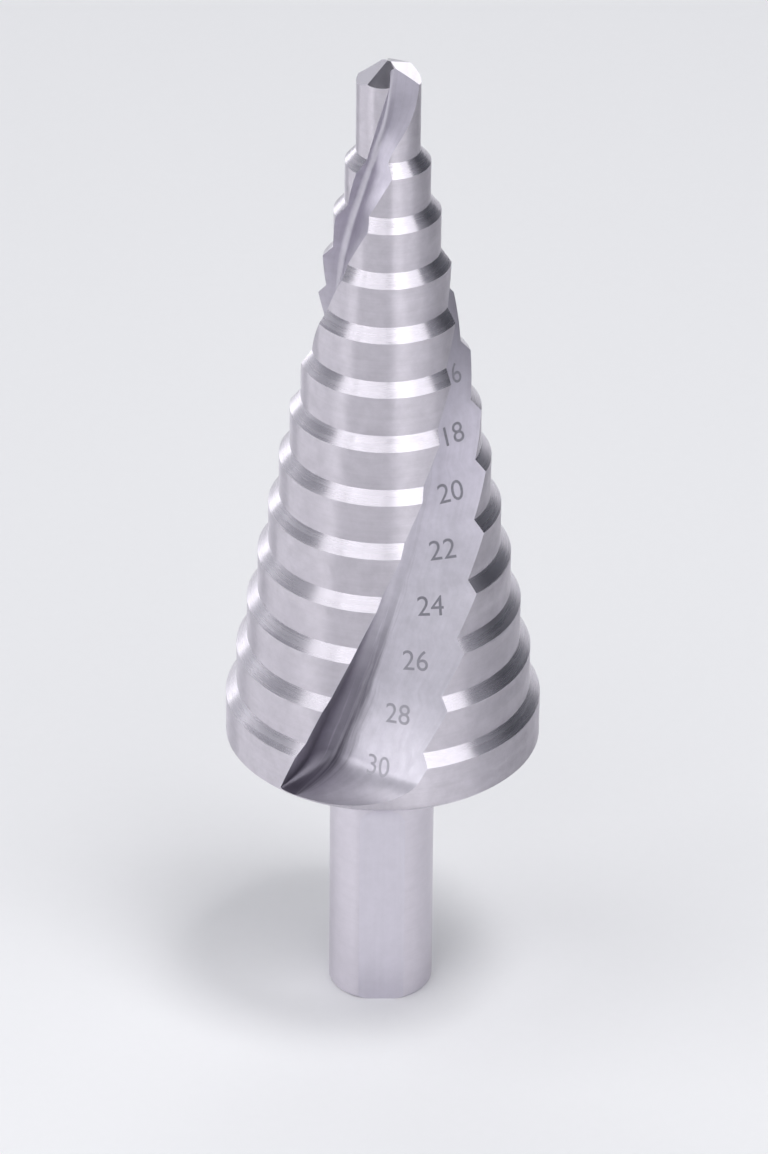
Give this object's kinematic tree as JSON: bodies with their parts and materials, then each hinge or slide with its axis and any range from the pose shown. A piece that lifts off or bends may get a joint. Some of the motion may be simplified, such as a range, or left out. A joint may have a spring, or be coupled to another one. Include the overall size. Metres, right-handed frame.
{
  "type": "step drill bit",
  "caption": "Conical step drill bit with spiral flutes, a pilot point and a shank with driving flats; drills and widens round holes in sheet metal.",
  "frame": {"origin": "centre of the shank's flat end, which it stands on", "axes": "+Z along the drill's axis towards the point; -Y is the side that the picture shows, with the first lip pointing towards it"},
  "size_m": [0.03, 0.03, 0.1],
  "materials": {
    "steel": "bright ground high-speed steel, fine grinding lines round the axis on the steps"
  },
  "bodies": {
    "root": {"step_drill": "steel"}
  },
  "joints": []
}
